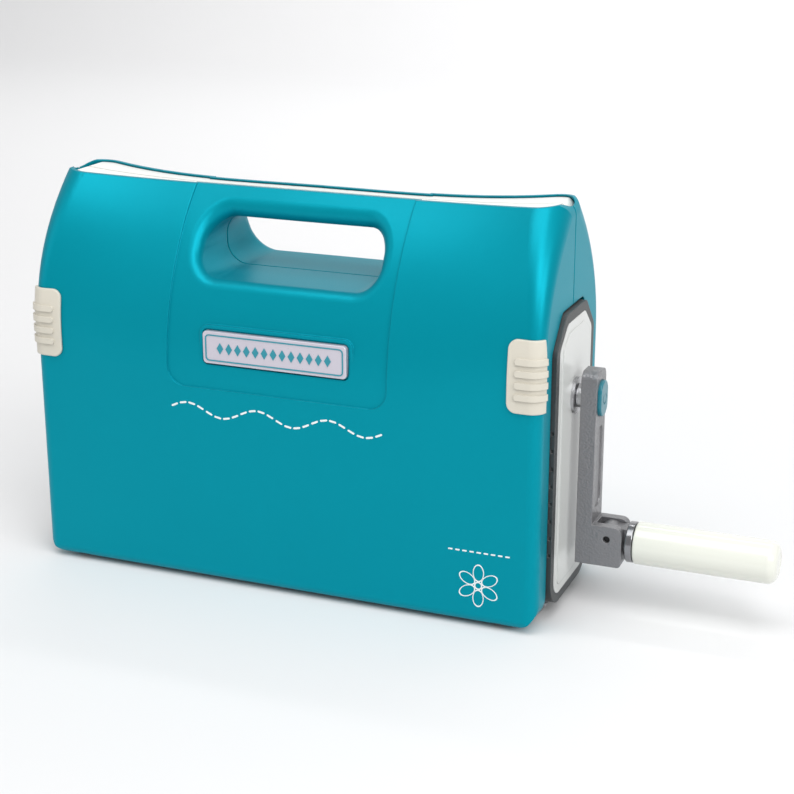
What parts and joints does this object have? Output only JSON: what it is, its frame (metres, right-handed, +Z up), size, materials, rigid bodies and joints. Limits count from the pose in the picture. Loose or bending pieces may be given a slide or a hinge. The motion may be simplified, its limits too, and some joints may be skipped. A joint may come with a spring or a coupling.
{
  "type": "die cutting machine",
  "caption": "Folding hand-cranked die cutting machine with geared rollers, carry handle, latched fold-down platforms and a folding crank grip.",
  "frame": {"origin": "centre of the base pad's underside, where the machine rests", "axes": "+Z up, +X along the case towards the crank, -Y towards the front platform with the badge"},
  "size_m": [0.5524, 0.1436, 0.2952],
  "materials": {
    "teal_shell": "satin metallic paint over moulded shell",
    "white_liner": "satin",
    "latch_cream": "satin",
    "charcoal": "fine texture",
    "panel_white": "gloss",
    "grip_white": "gloss",
    "arm_grey": "hammered enamel",
    "black_oxide": "oiled black",
    "steel": "brushed",
    "dark_chrome": "polished",
    "zinc_plate": "satin grey",
    "bronze": "turned",
    "gear_steel": "machined",
    "rubber_pad": "matt",
    "badge_silver": "satin",
    "button_teal": "satin"
  },
  "bodies": {
    "machine": {"base_plate": "zinc_plate", "hinge_brackets": "zinc_plate", "base_pad": "rubber_pad", "front_hinge_pins": "steel", "back_hinge_pins": "steel", "frame_screws": "steel", "right_inner_frame": "zinc_plate", "left_inner_frame": "zinc_plate", "gear_frame": "zinc_plate", "tie_bars": "steel", "gear_frame_spacers": "steel", "roller_bushes": "bronze", "crank_bushes": "bronze", "tower_cover": "white_liner", "front_feed_sill": "charcoal", "back_feed_sill": "charcoal", "idler_axle": "steel", "right_bezel": "charcoal", "left_bezel": "charcoal", "right_end_panel": "panel_white", "left_end_panel": "panel_white", "hub_ring": "steel"},
    "front_platform": {"front_shell": "teal_shell", "front_liner": "white_liner", "front_liner_screws": "steel", "badge": "badge_silver"},
    "back_platform": {"back_shell": "teal_shell", "back_liner": "white_liner", "back_liner_screws": "steel"},
    "front_right_latch": {"front_right_latch": "latch_cream"},
    "front_left_latch": {"front_left_latch": "latch_cream"},
    "crank": {"crank_shaft": "steel", "drive_pinion": "gear_steel", "crank_arm": "arm_grey", "fork_pin": "black_oxide"},
    "handle": {"handle_tongue": "arm_grey", "handle_spindle": "steel", "handle_collar": "dark_chrome"},
    "grip": {"handle_grip": "grip_white", "grip_end_plug": "grip_white"},
    "button": {"release_button": "button_teal"},
    "idler": {"idler_gear": "gear_steel"},
    "upper_roll": {"upper_roller": "steel", "upper_gear": "gear_steel"},
    "lower_roll": {"lower_roller": "steel", "lower_gear": "gear_steel"}
  },
  "joints": [
    {"name": "front_platform_fold", "type": "hinge", "parent": "machine", "child": "front_platform", "pos_m": [0, -0.0628, 0.0102], "axis": [1, 0, 0], "range_deg": [0, 90]},
    {"name": "back_platform_fold", "type": "hinge", "parent": "machine", "child": "back_platform", "pos_m": [0, 0.0628, 0.0102], "axis": [-1, 0, 0], "range_deg": [0, 90]},
    {"name": "crank_turn", "type": "hinge", "parent": "machine", "child": "crank", "pos_m": [0.2, 0, 0.1575], "axis": [1, 0, 0], "continuous": true},
    {"name": "idler_turn", "type": "hinge", "parent": "machine", "child": "idler", "pos_m": [0.172, 0, 0.1205], "axis": [1, 0, 0], "continuous": true},
    {"name": "upper_roll_turn", "type": "hinge", "parent": "machine", "child": "upper_roll", "pos_m": [0, 0, 0.0705], "axis": [1, 0, 0], "continuous": true},
    {"name": "lower_roll_turn", "type": "hinge", "parent": "machine", "child": "lower_roll", "pos_m": [0, 0, 0.0295], "axis": [1, 0, 0], "continuous": true},
    {"name": "handle_fold", "type": "hinge", "parent": "crank", "child": "handle", "pos_m": [0.231, 0, 0.057], "axis": [0, -1, 0], "range_deg": [0, 80]},
    {"name": "grip_spin", "type": "hinge", "parent": "handle", "child": "grip", "pos_m": [0.3, 0, 0.053], "axis": [1, 0, 0], "continuous": true},
    {"name": "release_press", "type": "slide", "parent": "crank", "child": "button", "axis": [-1, 0, 0], "range_m": [0, 0.002], "stiffness_N_per_m": 400, "springref_m": -0.001},
    {"name": "front_right_latch_slide", "type": "slide", "parent": "front_platform", "child": "front_right_latch", "axis": [0, 0, 1], "range_m": [0, 0.003], "stiffness_N_per_m": 400, "springref_m": -0.002},
    {"name": "front_left_latch_slide", "type": "slide", "parent": "front_platform", "child": "front_left_latch", "axis": [0, 0, 1], "range_m": [0, 0.003], "stiffness_N_per_m": 400, "springref_m": -0.002}
  ],
  "couplings": [
    {"joint": "idler_turn", "follows": "crank_turn", "ratio": -0.6087},
    {"joint": "upper_roll_turn", "follows": "crank_turn", "ratio": 0.51852},
    {"joint": "lower_roll_turn", "follows": "crank_turn", "ratio": -1}
  ]
}
